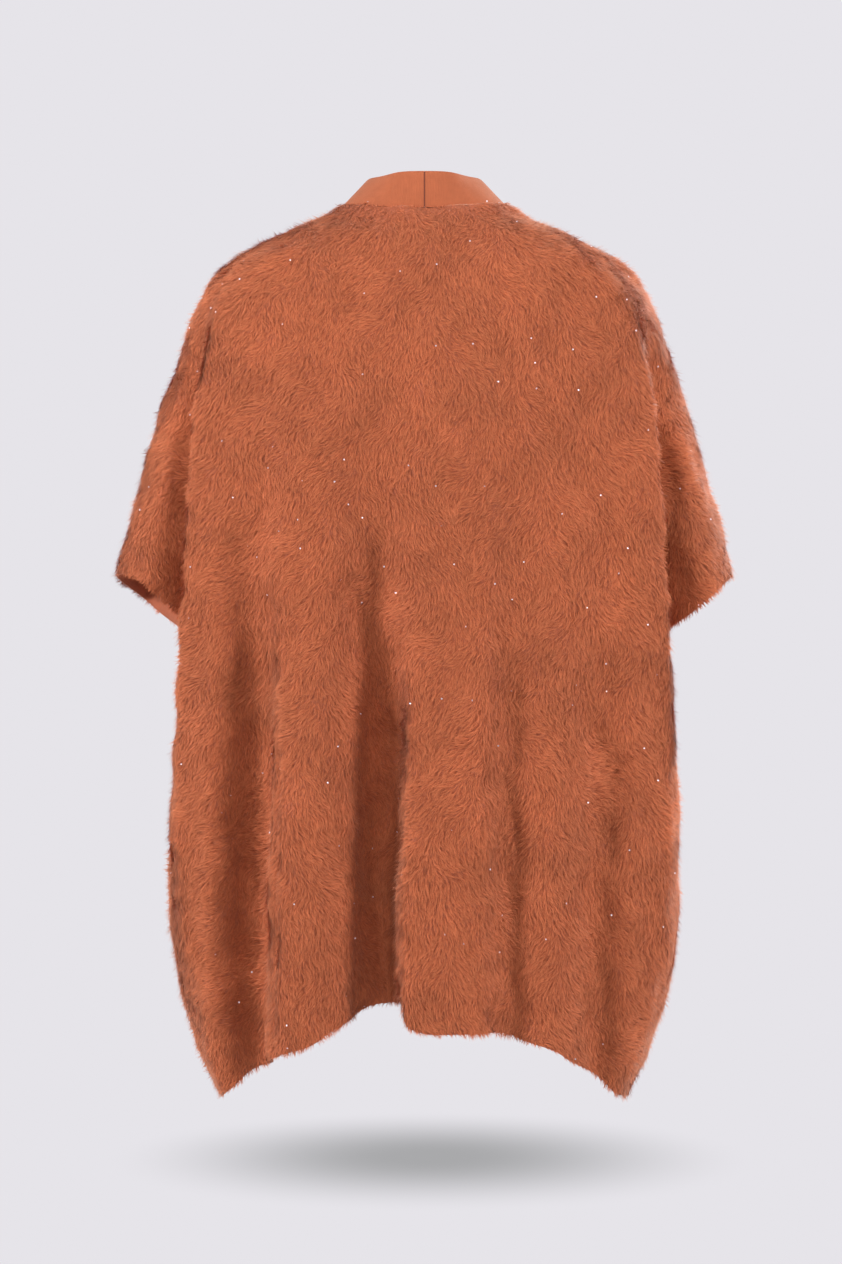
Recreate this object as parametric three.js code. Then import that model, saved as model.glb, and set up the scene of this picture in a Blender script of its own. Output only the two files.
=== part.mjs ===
// Shawl cape: an open-front cape of long-pile knit, its short sleeves cut in one with the body.
// Millimetres, +Z up, the wearer faces -Y and the wearer's left is +X.
// The origin lies between the shoulders, level with the points where the shoulders meet the neck.
import * as THREE from 'three';

// Driving dimensions
const clothWall = 7; // knit ground with its pile
const bandWall = 4; // two layers of fine knit
const bandWidth = 38;
const bandSunk = 1.5; // the band's face lies this far below the tips of the pile
const seamGap = 0.3;
const underarm = -460; // level where the side seam starts
const sideHem = -927; // level of the lowest corner, at the side seam
const frontHem = -846; // level of the front corners, at the band
const neckSeam = -2; // level of the neck points
const neckDip = 9; // the seam to the band sinks by this much towards the centre back
const seamOpens = 110; // below the underarm, the side seam takes this long to open out flat
const cuffLift = { left: 30, right: 7 }; // how far the back edge of each cuff is caught up
const cuffLiftFade = 190; // the catching up fades out over this height
const dipFade = -90; // the dip of the neck seam has faded out at this level
const dipShares = { ridge: 0.3, blade: 0.8 }; // of the dip, at these stations of the back
const frontHemCurve = 1.7; // how long the front hem stays low before it rises to the band
const bandLean = { centreBack: 5, neckPoint: 44 }; // degrees that the band leans back there
const bandLeanFrom = 0.1; // share of the way from the centre back at which it starts to lean more
const chestWay = { x: 0.08, y: -0.93, z: 0.36 }; // the way the band faces on the chest
const hemWayFrom = 0.5; // share of the front edge below which the band faces straight forwards
const bandEasing = 22; // the band's directions are evened out over this length either way

// How folds grow: shares of the way from a fold's start to the hem
const foldGrowth = { easeIn: 0.15, from: -0.1, full: 0.75 };
const foldHem = { back: -860, front: -880 }; // level at which each panel's folds have their hem place
const foldDepthFrom = { back: 40, front: -60 }; // cloth nearer to the wearer's sides than this isn't folded
const foldReach = 0.78; // folds fade out between this share of the way to the ridge and the ridge
const upperHollow = { x: 14, halfWidth: 28, depth: -6, top: -10, deepest: -130, foot: -340 };

// Stations round the garment above the underarm: band 0, shoulder 5, centre back 10, band 20
const shoulderStation = 5;
const lastStation = 20;
const sleeveStations = 2; // from the shoulder to the valley behind the sleeve

// Cells of the cloth
const rowsAbove = 15; // from the neck seam to the underarm, closer together near the neck
const rowsBelow = 12;
const rowCrowding = 1.9;
const frontCells = [7, 7, 4, 4, 4]; // band to chest, ridge, valley, lobe, shoulder
const backCells = [4, 4, 4, 14, 20]; // shoulder to lobe, valley, ridge, blade, centre

const colours = { pile: 0xb9653f, band: 0xc06a44 };

// A table with named columns: one object for each row
function table(columns, rows) {
  const names = columns.split(' ');
  return rows.map((row) => Object.fromEntries(names.map((name, i) => [name, row[i]])));
}

// The over-arm line: neck point, shoulder, upper arm, tip of the cuff
const shoulderLine = table('level x y z', [
  [-2, 88, 0, -2],
  [-12, 106, 0, -12],
  [-28, 142, 0, -28],
  [-50, 191, -2, -47],
  [-80, 217, -4, -65],
  [-125, 238, -6, -103],
  [-190, 257, -8, -152],
  [-265, 277, -10, -214],
  [-345, 297, -12, -283],
  [-410, 315, -14, -341],
  [-460, 327, -15, -388],
]);

// Back above the underarm: the shoulder blade, the ridge where the back rolls to the side,
// the valley behind the sleeve and the lobe of the sleeve's own back
const backAbove = table('level centreY bladeX bladeY ridgeX ridgeY valleyX valleyY lobeX lobeY', [
  [-2, 70, 40, 62, 64, 46, 79, 26, 86, 11],
  [-12, 80, 50, 71, 80, 53, 96, 32, 104, 14],
  [-28, 90, 66, 82, 109, 62, 130, 39, 139, 17],
  [-50, 100, 84, 93, 146, 74, 172, 47, 184, 20],
  [-80, 109, 100, 102, 182, 82, 203, 52, 214, 21],
  [-125, 116, 114, 110, 210, 85, 226, 54, 235, 24],
  [-190, 120, 126, 115, 231, 88, 227, 50, 248, 33],
  [-265, 121, 132, 117, 240, 90, 219, 40, 259, 43],
  [-345, 121, 136, 118, 246, 90, 214, 30, 272, 48],
  [-410, 122, 138, 119, 249, 89, 220, 22, 283, 46],
  [-460, 123, 138, 120, 250, 88, 233, 11, 288, 42],
]);

// Front above the underarm, from the seam with the band outwards
const frontEdge = table('level x y z', [
  [-2, 84, -86, -62],
  [-12, 84, -92, -75],
  [-28, 84, -99, -92],
  [-50, 84, -106, -115],
  [-80, 84, -113, -142],
  [-125, 84, -120, -180],
  [-190, 84, -127, -232],
  [-265, 84, -131, -292],
  [-345, 84, -133, -358],
  [-410, 84, -134, -413],
  [-460, 84, -134, -460],
]);
const frontAbove = table('level chestX chestY ridgeX ridgeY ridgeZ valleyX valleyY valleyZ lobeX lobeY', [
  [-2, 90, -62, 94, -40, -24, 93, -22, -12, 90, -9],
  [-12, 98, -70, 104, -46, -33, 106, -26, -21, 106, -11],
  [-28, 112, -82, 128, -58, -50, 137, -34, -38, 141, -15],
  [-50, 128, -94, 162, -74, -76, 177, -48, -62, 185, -22],
  [-80, 140, -104, 188, -88, -108, 208, -60, -94, 217, -28],
  [-125, 146, -113, 204, -98, -155, 221, -66, -140, 234, -36],
  [-190, 150, -122, 216, -104, -215, 220, -62, -203, 248, -54],
  [-265, 152, -128, 224, -106, -283, 217, -55, -275, 262, -68],
  [-345, 154, -131, 230, -106, -353, 216, -42, -350, 274, -76],
  [-410, 155, -133, 236, -104, -411, 222, -24, -411, 284, -78],
  [-460, 156, -134, 240, -100, -460, 233, -4, -460, 290, -76],
]);

// The body below the underarm, all round from the centre back to the front edge
const bodyBelow = table(
  'level centreY bladeX bladeY ridgeX ridgeY seamX seamY frontRidgeX frontRidgeY chestX chestY edgeX edgeY',
  [
    [-460, 123, 138, 120, 250, 88, 240, 3.5, 240, -100, 156, -134, 84, -134],
    [-560, 127, 140, 123, 253, 84, 254, 3, 247, -99, 158, -137, 83, -137],
    [-640, 131, 141, 126, 253, 83, 262, 2, 249, -98, 160, -139, 82, -139],
    [-720, 135, 140, 130, 250, 84, 268, 1, 248, -98, 160, -141, 80, -142],
    [-800, 140, 134, 133, 238, 85, 260, 0, 237, -98, 157, -143, 79, -144],
    [-868, 145, 126, 136, 220, 83, 240, 0, 220, -96, 152, -144, 78, -146],
    [-930, 149, 116, 139, 194, 77, 212, 0, 196, -88, 146, -143, 77, -147],
  ],
);

// Folds of the back and fronts: where each starts and meets the hem, half its width, the share of
// that which is flat, its depth (a ridge is positive) and how far its crest leans over towards +X
// for each millimetre of depth, which makes the left flank of a column steep
const backFolds = table('topX hemX halfWidth flat start depth lean', [
  [182, 185, 36, 0.15, -230, -24, 0.3], // between the side and the left column
  [106, 117, 56, 0.44, -180, 20, 0.35], // left column
  [58, 62, 40, 0.12, -190, -32, 0.35], // deep valley left of the middle
  [-40, -25, 64, 0.5, -160, 20, 0.35], // middle column
  [-82, -86, 26, 0, -190, -13, 0], // trough right of the middle
  [-116, -132, 38, 0, -230, 10, 0], // broad bulge
  [-184, -176, 32, 0.1, -250, -20, 0], // valley before the right side
]);
const frontFolds = table('topX hemX halfWidth flat start depth lean', [
  [122, 124, 28, 0, -230, -20, 0],
  [160, 164, 34, 0.2, -190, 17, 0.3],
  [202, 200, 20, 0, -300, -12, 0],
]);

// The back's hem: its level at each distance from the middle, left positive
const backHem = table('x z', [
  [-213, -927],
  [-190, -917],
  [-168, -900],
  [-148, -885],
  [-124, -868],
  [-90, -856],
  [-64, -847],
  [-16, -848],
  [12, -840],
  [26, -819],
  [50, -822],
  [66, -831],
  [84, -851],
  [104, -862],
  [142, -874],
  [158, -885],
  [176, -900],
  [195, -916],
  [213, -927],
]);

const point = (x, y, z) => new THREE.Vector3(x, y, z);
const mix = THREE.MathUtils.lerp;
const ease = THREE.MathUtils.smoothstep;

// A table's values at any place along its first column, joined by curves that don't overshoot
function read(rows, place) {
  const key = Object.keys(rows[0])[0];
  const order = Math.sign(rows[1][key] - rows[0][key]);
  const last = rows.length - 2;
  let k = 0;
  while (k < last && (place - rows[k + 1][key]) * order > 0) k += 1;
  const span = (i) => rows[i + 1][key] - rows[i][key];
  const t = THREE.MathUtils.clamp((place - rows[k][key]) / span(k), 0, 1);
  const result = {};
  for (const name of Object.keys(rows[0])) {
    const slope = (i) => (rows[i + 1][name] - rows[i][name]) / span(i);
    const tangent = (i) => {
      if (i === 0) return slope(0);
      if (i === rows.length - 1) return slope(i - 1);
      const before = slope(i - 1);
      const after = slope(i);
      return before * after > 0 ? (2 * before * after) / (before + after) : 0;
    };
    const rise = rows[k + 1][name] - rows[k][name];
    const leave = tangent(k) * span(k);
    const arrive = tangent(k + 1) * span(k);
    const cubic = leave + arrive - 2 * rise;
    const square = 3 * rise - 2 * leave - arrive;
    result[name] = rows[k][name] + t * (leave + t * (square + t * cubic));
  }
  return result;
}

// Above the underarm: one side's stations, from the band round the sleeve to the shoulder blade
function sideAbove(level, side) {
  const shoulder = read(shoulderLine, level);
  const back = read(backAbove, level);
  const front = read(frontAbove, level);
  const edge = read(frontEdge, level);
  const lobeShare = ({ valleyX, valleyY, lobeX, lobeY }) => {
    const toLobe = Math.hypot(lobeX - valleyX, lobeY - valleyY);
    return toLobe / (toLobe + Math.hypot(shoulder.x - lobeX, shoulder.y - lobeY));
  };
  const lift = side > 0 ? cuffLift.left : cuffLift.right;
  const caughtUp = lift * (1 - ease(level, underarm, underarm + cuffLiftFade));
  const backLobeZ = mix(level, shoulder.z, lobeShare(back)) + caughtUp;
  const dip = neckDip * dipShare(level);
  const frontLobeZ = mix(front.valleyZ, shoulder.z, lobeShare(front));
  return [
    point(side * edge.x, edge.y, edge.z),
    point(side * front.chestX, front.chestY, (edge.z + front.ridgeZ) / 2),
    point(side * front.ridgeX, front.ridgeY, front.ridgeZ),
    point(side * front.valleyX, front.valleyY, front.valleyZ),
    point(side * front.lobeX, front.lobeY, frontLobeZ),
    point(side * shoulder.x, shoulder.y, shoulder.z),
    point(side * back.lobeX, back.lobeY, backLobeZ),
    point(side * back.valleyX, back.valleyY, level),
    point(side * back.ridgeX, back.ridgeY, level - dipShares.ridge * dip),
    point(side * back.bladeX, back.bladeY, level - dipShares.blade * dip),
  ];
}

// How much of the neck's dip reaches a level of the back
function dipShare(level) {
  return ease(level, dipFade, neckSeam);
}

// The whole way round above the underarm, from the left band to the right one
function ringAbove(level) {
  const centre = point(0, read(backAbove, level).centreY, level - neckDip * dipShare(level));
  const stations = [...sideAbove(level, 1), centre, ...sideAbove(level, -1).reverse()];
  return stationCurve(stations);
}

// Half of how far the side seam is still closed flat at a level: 90 degrees at the underarm
function seamTurn(level) {
  return (Math.PI / 2) * ease(level, underarm - seamOpens, underarm);
}

// The seam's outer edge on the back (+1) or front (-1) panel of one side
function seamPoint(body, level, side, facing) {
  const turn = seamTurn(level);
  const x = body.seamX - clothWall + clothWall * Math.cos(turn);
  return point(side * x, body.seamY + facing * clothWall * Math.sin(turn), level);
}

function backBelow(level) {
  const body = read(bodyBelow, level);
  const half = (side) => [
    seamPoint(body, level, side, 1),
    point(side * body.ridgeX, body.ridgeY, level),
    point(side * body.bladeX, body.bladeY, level),
  ];
  return stationCurve([...half(1), point(0, body.centreY, level), ...half(-1).reverse()]);
}

function frontBelow(level, side) {
  const body = read(bodyBelow, level);
  return stationCurve([
    point(side * body.edgeX, body.edgeY, level),
    point(side * body.chestX, body.chestY, level),
    point(side * body.frontRidgeX, body.frontRidgeY, level),
    seamPoint(body, level, side, -1),
  ]);
}

// A smooth curve through stations, read by station number: 2.5 is halfway from the third to the fourth
function stationCurve(stations) {
  const curve = new THREE.CatmullRomCurve3(stations, false, 'centripetal');
  return (station) => curve.getPoint(station / (stations.length - 1));
}

// A soft bump across a fold: 1 on the flat of its middle, 0 at its edges
function bump(away, flat = 0) {
  const beyond = THREE.MathUtils.clamp((away - flat) / (1 - flat), 0, 1);
  return Math.cos((beyond * Math.PI) / 2) ** 2;
}

// Moves a point of the cloth by its folds. outward is +1 on the back and -1 on the front.
function fold(p, folds, side, outward, hem, reach) {
  const x = p.x * side;
  let depth = 0;
  let lean = 0;
  for (const f of folds) {
    const down = THREE.MathUtils.clamp((f.start - p.z) / (f.start - hem), 0, 1);
    const away = Math.abs(x - mix(f.topX, f.hemX, down)) / f.halfWidth;
    const growth = ease(down, 0, foldGrowth.easeIn) * ease(down, foldGrowth.from, foldGrowth.full);
    const grown = f.depth * growth * bump(away, f.flat);
    depth += grown;
    lean += grown * f.lean;
  }
  const held = 1 - ease(Math.abs(p.x), reach * foldReach, reach);
  return point(p.x + side * lean * held, p.y + outward * depth * held, p.z);
}

// Sinks the soft hollow that runs down the upper back
function hollow(p) {
  const { x, halfWidth, depth, top, deepest, foot } = upperHollow;
  const share = p.z > deepest ? 1 - ease(p.z, deepest, top) : ease(p.z, foot, deepest);
  return point(p.x, p.y + depth * share * bump(Math.abs(p.x - x) / halfWidth), p.z);
}

// Station numbers of the columns of cells
function columns(cells) {
  const stations = [0];
  cells.forEach((count, k) => {
    for (let i = 1; i <= count; i += 1) stations.push(k + i / count);
  });
  return stations;
}

const sum = (list) => list.reduce((total, n) => total + n, 0);

const levelsAbove = Array.from(
  { length: rowsAbove + 1 },
  (_, j) => neckSeam + (underarm - neckSeam) * (j / rowsAbove) ** rowCrowding,
);

// Back panel: columns run from the left shoulder over the back to the right shoulder
function backGrid() {
  const stations = columns([...backCells, ...[...backCells].reverse()]);
  const sleeve = backCells[0] + backCells[1];
  const rows = levelsAbove.map((level) => {
    const ring = ringAbove(level);
    return stations.map((s) => ring(shoulderStation + s));
  });
  for (let j = 1; j <= rowsBelow; j += 1) {
    rows.push(stations.map((s, i) => {
      if (i < sleeve || i >= stations.length - sleeve) return null;
      const station = s - sleeveStations;
      const hem = read(backHem, backBelow(sideHem)(station).x).z;
      return backBelow(mix(underarm, hem, j / rowsBelow))(station);
    }));
  }
  return rows.map((row) => row.map((p) => {
    if (!p || p.y < foldDepthFrom.back) return p;
    const reach = p.z > underarm ? read(backAbove, p.z).ridgeX : read(bodyBelow, p.z).ridgeX;
    return hollow(fold(p, backFolds, 1, 1, foldHem.back, reach));
  }));
}

// Front panel: columns run from the band to the shoulder on the left, and back on the right
function frontGrid(side) {
  const stations = columns(frontCells);
  const body = frontCells[0] + frontCells[1] + frontCells[2];
  const rows = levelsAbove.map((level) => {
    const ring = ringAbove(level);
    return stations.map((s) => ring(side > 0 ? s : lastStation - s));
  });
  for (let j = 1; j <= rowsBelow; j += 1) {
    rows.push(stations.map((s, i) => {
      if (i > body) return null;
      const outwardShare = s / (shoulderStation - sleeveStations);
      const hem = mix(frontHem, sideHem, outwardShare ** frontHemCurve);
      const level = mix(underarm, hem, j / rowsBelow);
      return frontBelow(level, side)(s);
    }));
  }
  const grid = rows.map((row) => row.map((p) => {
    if (!p || p.y > foldDepthFrom.front) return p;
    const reach = p.z > underarm ? read(frontAbove, p.z).ridgeX : read(bodyBelow, p.z).frontRidgeX;
    return fold(p, frontFolds, side, -1, foldHem.front, reach);
  }));
  return side > 0 ? grid : grid.map((row) => row.reverse());
}

// Outward normals of a grid whose rows run down and whose columns run from left to right of the back
function gridNormals(grid) {
  return grid.map((row, j) => row.map((p, i) => {
    if (!p) return null;
    const pick = (dj, di) => grid[j + dj]?.[i + di] ?? p;
    const down = pick(1, 0).clone().sub(pick(-1, 0));
    const across = pick(0, 1).clone().sub(pick(0, -1));
    return down.cross(across).normalize();
  }));
}

// A closed wall: the grid is its outer face, and each normal says which way its thickness lies.
// Empty grid points leave cells out, and cells from the column mirroredFrom on are split into
// triangles the other way, as the mirror images of those before it.
function wallMesh(name, grid, normals, thickness, material, mirroredFrom = Infinity) {
  const positions = [];
  const outer = grid.map((row) => row.map((p) => {
    if (!p) return null;
    positions.push(p.x, p.y, p.z);
    return positions.length / 3 - 1;
  }));
  const inner = grid.map((row, j) => row.map((p, i) => {
    if (!p) return null;
    const q = p.clone().addScaledVector(normals[j][i], -thickness);
    positions.push(q.x, q.y, q.z);
    return positions.length / 3 - 1;
  }));
  const hasCell = (j, i) => [[0, 0], [1, 0], [1, 1], [0, 1]].every(([dj, di]) => grid[j + dj]?.[i + di]);
  const faces = [];
  const quad = (a, b, c, d) => faces.push(a, b, c, a, c, d);
  for (let j = 0; j < grid.length - 1; j += 1) {
    for (let i = 0; i < grid[j].length - 1; i += 1) {
      if (!hasCell(j, i)) continue;
      const corners = [[j, i], [j + 1, i], [j + 1, i + 1], [j, i + 1]];
      const ordered = i < mirroredFrom ? corners : [...corners.slice(1), corners[0]];
      quad(...ordered.map(([r, c]) => outer[r][c]));
      quad(...ordered.map(([r, c]) => inner[r][c]).reverse());
      const beyond = [[j, i - 1], [j + 1, i], [j, i + 1], [j - 1, i]];
      beyond.forEach(([r, c], k) => {
        if (hasCell(r, c)) return;
        const [pj, pi] = corners[k];
        const [qj, qi] = corners[(k + 1) % 4];
        quad(outer[qj][qi], outer[pj][pi], inner[pj][pi], inner[qj][qi]);
      });
    }
  }
  const geometry = new THREE.BufferGeometry();
  geometry.setAttribute('position', new THREE.Float32BufferAttribute(positions, 3));
  geometry.setIndex(faces);
  geometry.computeVertexNormals();
  const mesh = new THREE.Mesh(geometry, material);
  mesh.name = name;
  return mesh;
}

// The three panels' grids and normals
const back = backGrid();
const frontLeft = frontGrid(1);
const frontRight = frontGrid(-1);
const backNormals = gridNormals(back);
const frontLeftNormals = gridNormals(frontLeft);
const frontRightNormals = gridNormals(frontRight);

// Joins two panels along their shoulder and side seams: one wall direction, and the seam's gap between them
function joinSeam(side, front, frontNormals) {
  const sleeve = backCells[0] + backCells[1];
  const lastBack = back[0].length - 1;
  const body = frontCells[0] + frontCells[1] + frontCells[2];
  const lastFront = front[0].length - 1;
  const shoulder = side > 0 ? [0, lastFront] : [lastBack, 0];
  const seam = side > 0 ? [sleeve, body] : [lastBack - sleeve, lastFront - body];
  const halfGap = point(0, seamGap / 2, 0);
  for (let j = 0; j <= rowsAbove; j += 1) {
    const [b, f] = shoulder;
    const shared = backNormals[j][b].clone().add(frontNormals[j][f]).setY(0).normalize();
    backNormals[j][b].copy(shared);
    frontNormals[j][f].copy(shared);
    back[j][b].add(halfGap);
    front[j][f].sub(halfGap);
  }
  for (let j = rowsAbove; j < back.length; j += 1) {
    const [b, f] = seam;
    const turn = seamTurn(back[j][b].z);
    backNormals[j][b].set(side * Math.cos(turn), Math.sin(turn), 0);
    frontNormals[j][f].set(side * Math.cos(turn), -Math.sin(turn), 0);
    back[j][b].add(halfGap);
    front[j][f].sub(halfGap);
  }
}

// The neck line of one side, from the centre back over the shoulder and down the front edge:
// each station is a panel's own edge point with the direction of its wall
function neckLine(side, front, frontNormals) {
  const centre = sum(backCells);
  const lastFront = front[0].length - 1;
  const stations = [];
  for (let i = 0; i <= centre; i += 1) {
    const column = side > 0 ? centre - i : centre + i;
    stations.push({ p: back[0][column], n: backNormals[0][column], part: 'back', along: i / centre });
  }
  for (let i = 1; i <= lastFront; i += 1) {
    const column = side > 0 ? lastFront - i : i;
    stations.push({ p: front[0][column], n: frontNormals[0][column], part: 'top', along: i / lastFront });
  }
  for (let j = 1; j < front.length; j += 1) {
    const column = side > 0 ? 0 : lastFront;
    const along = j / (front.length - 1);
    stations.push({ p: front[j][column], n: frontNormals[j][column], part: 'edge', along });
  }
  const uprightLean = THREE.MathUtils.degToRad(bandLean.centreBack);
  const neckPointLean = THREE.MathUtils.degToRad(bandLean.neckPoint);
  const atNeckPoint = point(side * Math.cos(neckPointLean), 0, Math.sin(neckPointLean));
  const atChest = point(side * chestWay.x, chestWay.y, chestWay.z).normalize();
  const atHem = point(0, -1, 0);
  stations.forEach((station, k) => {
    const before = stations[Math.max(k - 1, 0)].p;
    const after = stations[Math.min(k + 1, stations.length - 1)].p;
    station.t = after.clone().sub(before).normalize();
    if (station.part === 'back') {
      const lean = mix(uprightLean, neckPointLean, ease(station.along, bandLeanFrom, 1));
      const level = point(-side * station.t.y, side * station.t.x, 0).normalize();
      station.n.copy(level.multiplyScalar(Math.cos(lean)).add(point(0, 0, Math.sin(lean))));
    } else if (station.part === 'top') {
      station.n.copy(atNeckPoint).lerp(atChest, ease(station.along, 0, 1));
    } else {
      station.n.copy(atChest).lerp(atHem, ease(station.along, 0, hemWayFrom));
    }
  });
  evenOut(stations);
  for (const station of stations) {
    station.n.addScaledVector(station.t, -station.n.dot(station.t)).normalize();
    station.w = station.t.clone().cross(station.n).multiplyScalar(side);
  }
  frontNormals[0][side > 0 ? lastFront : 0].copy(stations[centre].n);
  return stations;
}

// Averages the directions of stations over their neighbours, so that the band's free edge,
// which is shorter than its seam where the line bends, doesn't bunch up
function evenOut(stations) {
  const distance = [0];
  for (let k = 1; k < stations.length; k += 1) {
    distance.push(distance[k - 1] + stations[k].p.distanceTo(stations[k - 1].p));
  }
  const share = (k, other) => Math.max(0, 1 - Math.abs(distance[k] - distance[other]) / bandEasing);
  const average = (key, k) => {
    const total = point(0, 0, 0);
    stations.forEach((other, m) => {
      const span = distance[Math.min(m + 1, distance.length - 1)] - distance[Math.max(m - 1, 0)];
      total.addScaledVector(other[key], share(k, m) * span);
    });
    return total.normalize();
  };
  const evened = stations.map((station, k) => (k === 0 ? station : { t: average('t', k), n: average('n', k) }));
  stations.forEach((station, k) => {
    station.t.copy(evened[k].t);
    station.n.copy(evened[k].n);
  });
}

// Half of the neck band: it stands round the back of the neck and lies flat down the front edge
function band(name, side, stations, material) {
  const edge = (distance) => stations.map(({ p, n, w }) => (
    p.clone().addScaledVector(w, distance).addScaledVector(n, -bandSunk)));
  const grid = [edge(seamGap), edge(bandWidth)];
  const normals = [0, 1].map(() => stations.map(({ n }) => n.clone()));
  for (const row of grid) row[0].x = side * seamGap / 2;
  if (side < 0) [...grid, ...normals].forEach((row) => row.reverse());
  return wallMesh(name, grid, normals, bandWall, material);
}

joinSeam(1, frontLeft, frontLeftNormals);
joinSeam(-1, frontRight, frontRightNormals);
const neckLeft = neckLine(1, frontLeft, frontLeftNormals);
const neckRight = neckLine(-1, frontRight, frontRightNormals);

const pile = new THREE.MeshStandardMaterial({ color: colours.pile, roughness: 1, metalness: 0 });
const fineKnit = new THREE.MeshStandardMaterial({ color: colours.band, roughness: 0.9, metalness: 0 });

const group = new THREE.Group();
group.add(wallMesh('back_panel', back, backNormals, clothWall, pile, sum(backCells)));
group.add(wallMesh('front_panel_left', frontLeft, frontLeftNormals, clothWall, pile));
group.add(wallMesh('front_panel_right', frontRight, frontRightNormals, clothWall, pile));
group.add(band('neck_band_left', 1, neckLeft, fineKnit));
group.add(band('neck_band_right', -1, neckRight, fineKnit));

export default group;
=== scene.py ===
# Shawl cape in long-pile knit, worn by no one, seen from behind
import heapq
import math

import bmesh
import bpy
import numpy as np
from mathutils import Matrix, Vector
from mathutils.bvhtree import BVHTree
from mathutils.kdtree import KDTree


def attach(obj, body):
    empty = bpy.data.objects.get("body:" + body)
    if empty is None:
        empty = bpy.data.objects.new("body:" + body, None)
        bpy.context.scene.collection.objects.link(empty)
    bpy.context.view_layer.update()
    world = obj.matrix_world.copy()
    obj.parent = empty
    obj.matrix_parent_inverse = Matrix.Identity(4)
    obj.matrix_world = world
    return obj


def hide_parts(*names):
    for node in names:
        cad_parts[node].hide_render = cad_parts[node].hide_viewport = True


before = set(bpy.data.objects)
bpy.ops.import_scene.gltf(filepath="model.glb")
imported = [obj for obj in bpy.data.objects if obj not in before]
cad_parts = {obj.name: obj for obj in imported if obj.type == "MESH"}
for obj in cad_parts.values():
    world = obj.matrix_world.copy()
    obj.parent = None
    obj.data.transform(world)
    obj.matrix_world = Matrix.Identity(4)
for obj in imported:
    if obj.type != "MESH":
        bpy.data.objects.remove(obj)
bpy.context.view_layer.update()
bpy.ops.object.select_all(action="DESELECT")
print("frame loaded")

mm = 0.001


# the camera stands where the photograph's stood, level with the middle of the cape

camera = {
    "distance": 3.5,
    "sideways": 0.0036,
    "height": -0.444,
    "pictureWidth": 0.8757,
    "sensor": 36,
    "farthest": 50,
}
cameraData = bpy.data.cameras.new("camera")
cameraData.sensor_fit = "HORIZONTAL"
cameraData.sensor_width = camera["sensor"]
cameraData.lens = camera["sensor"] * camera["distance"] / camera["pictureWidth"]
cameraData.clip_end = camera["farthest"]
cameraObject = bpy.data.objects.new("camera", cameraData)
cameraObject.location = (camera["sideways"], camera["distance"], camera["height"])
cameraObject.rotation_euler = (math.radians(90), 0, math.radians(180))
bpy.context.collection.objects.link(cameraObject)
bpy.context.scene.camera = cameraObject


# helpers for rows of named values, for pieces and for node trees

def rows(columns, values):
    names = columns.split()
    return [dict(zip(names, row)) for row in values]


def smooth(value):
    t = np.clip(value, 0, 1)
    return t * t * (3 - 2 * t)


def treeOf(points):
    tree = KDTree(len(points))
    for index, point in enumerate(points):
        tree.insert(Vector(point), index)
    tree.balance()
    return tree


def surfaceOf(mesh):
    return BVHTree.FromPolygons(
        [v.co.copy() for v in mesh.vertices], [tuple(face.vertices) for face in mesh.polygons])


def openEdges(mesh):
    uses = {}
    for face in mesh.polygons:
        for key in face.edge_keys:
            uses[key] = uses.get(key, 0) + 1
    return [key for key, count in uses.items() if count == 1]


def addPiece(name, mesh):
    piece = bpy.data.objects.new(name, mesh)
    bpy.context.collection.objects.link(piece)
    return piece


def choose(piece):
    bpy.ops.object.select_all(action="DESELECT")
    piece.select_set(True)
    bpy.context.view_layer.objects.active = piece


def finishModifier(piece, kind, **settings):
    choose(piece)
    modifier = piece.modifiers.new(kind.lower(), kind)
    for key, value in settings.items():
        setattr(modifier, key, value)
    bpy.ops.object.modifier_apply(modifier=modifier.name)


def newMaterial(name):
    material = bpy.data.materials.new(name)
    material.use_nodes = True
    tree = material.node_tree
    shader = tree.nodes["Principled BSDF"]
    return material, tree, shader


def addNode(tree, kind, **settings):
    node = tree.nodes.new(kind)
    for key, value in settings.items():
        setattr(node, key, value)
    return node


def mathNode(tree, operation, first, second=None):
    node = addNode(tree, "ShaderNodeMath", operation=operation)
    for socket, value in zip(node.inputs, (first, second)):
        if value is None:
            continue
        if isinstance(value, (int, float)):
            socket.default_value = value
        else:
            tree.links.new(value, socket)
    return node.outputs[0]


def newGroup(name, inputs, outputs):
    group = bpy.data.node_groups.new(name, "ShaderNodeTree")
    for label, kind, value in inputs:
        socket = group.interface.new_socket(label, in_out="INPUT", socket_type="NodeSocket" + kind)
        if value is not None:
            socket.default_value = value
    for label, kind in outputs:
        group.interface.new_socket(label, in_out="OUTPUT", socket_type="NodeSocket" + kind)
    return group, group.nodes.new("NodeGroupInput"), group.nodes.new("NodeGroupOutput")


def useGroup(tree, group, **values):
    node = addNode(tree, "ShaderNodeGroup", node_tree=group)
    for key, value in values.items():
        if isinstance(value, (int, float, tuple)):
            node.inputs[key].default_value = value
        else:
            tree.links.new(value, node.inputs[key])
    return node


# dye unevenness, the same on every knit: cloudy patches and a finer mottle

dyeClouds = rows("label scale detail", [("Patches", 14, 2), ("Mottle", 130, 3)])


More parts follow.
